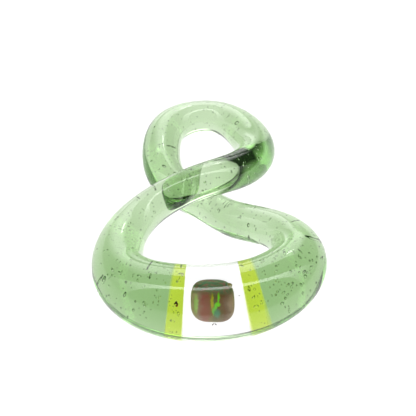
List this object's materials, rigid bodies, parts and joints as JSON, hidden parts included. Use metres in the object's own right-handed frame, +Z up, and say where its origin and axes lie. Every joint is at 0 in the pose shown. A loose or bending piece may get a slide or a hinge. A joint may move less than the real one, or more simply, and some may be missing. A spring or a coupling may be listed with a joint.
{
  "type": "figure-eight glass pendant",
  "caption": "Closed figure-eight pendant of seeded green glass rod, thick in front and thin at the hanging eye, with an opal sealed in a clear window between yellow-green bands.",
  "frame": {"origin": "on the surface the pendant lies on, below the middle of its outline", "axes": "+Z up from the surface, +Y from the thick front rod towards the hanging eye, +X to the right seen from the front"},
  "size_m": [0.0462, 0.0709, 0.0159],
  "materials": {
    "green_glass": "fire-polished, with seeds",
    "band_glass": "fire-polished, yellow-green",
    "clear_glass": "fire-polished, colourless",
    "opal": "polished stone with green flashes"
  },
  "bodies": {
    "root": {"left_arm": "green_glass", "right_arm": "green_glass", "left_band": "band_glass", "right_band": "band_glass", "clear_window": "clear_glass", "opal": "opal"}
  },
  "joints": []
}
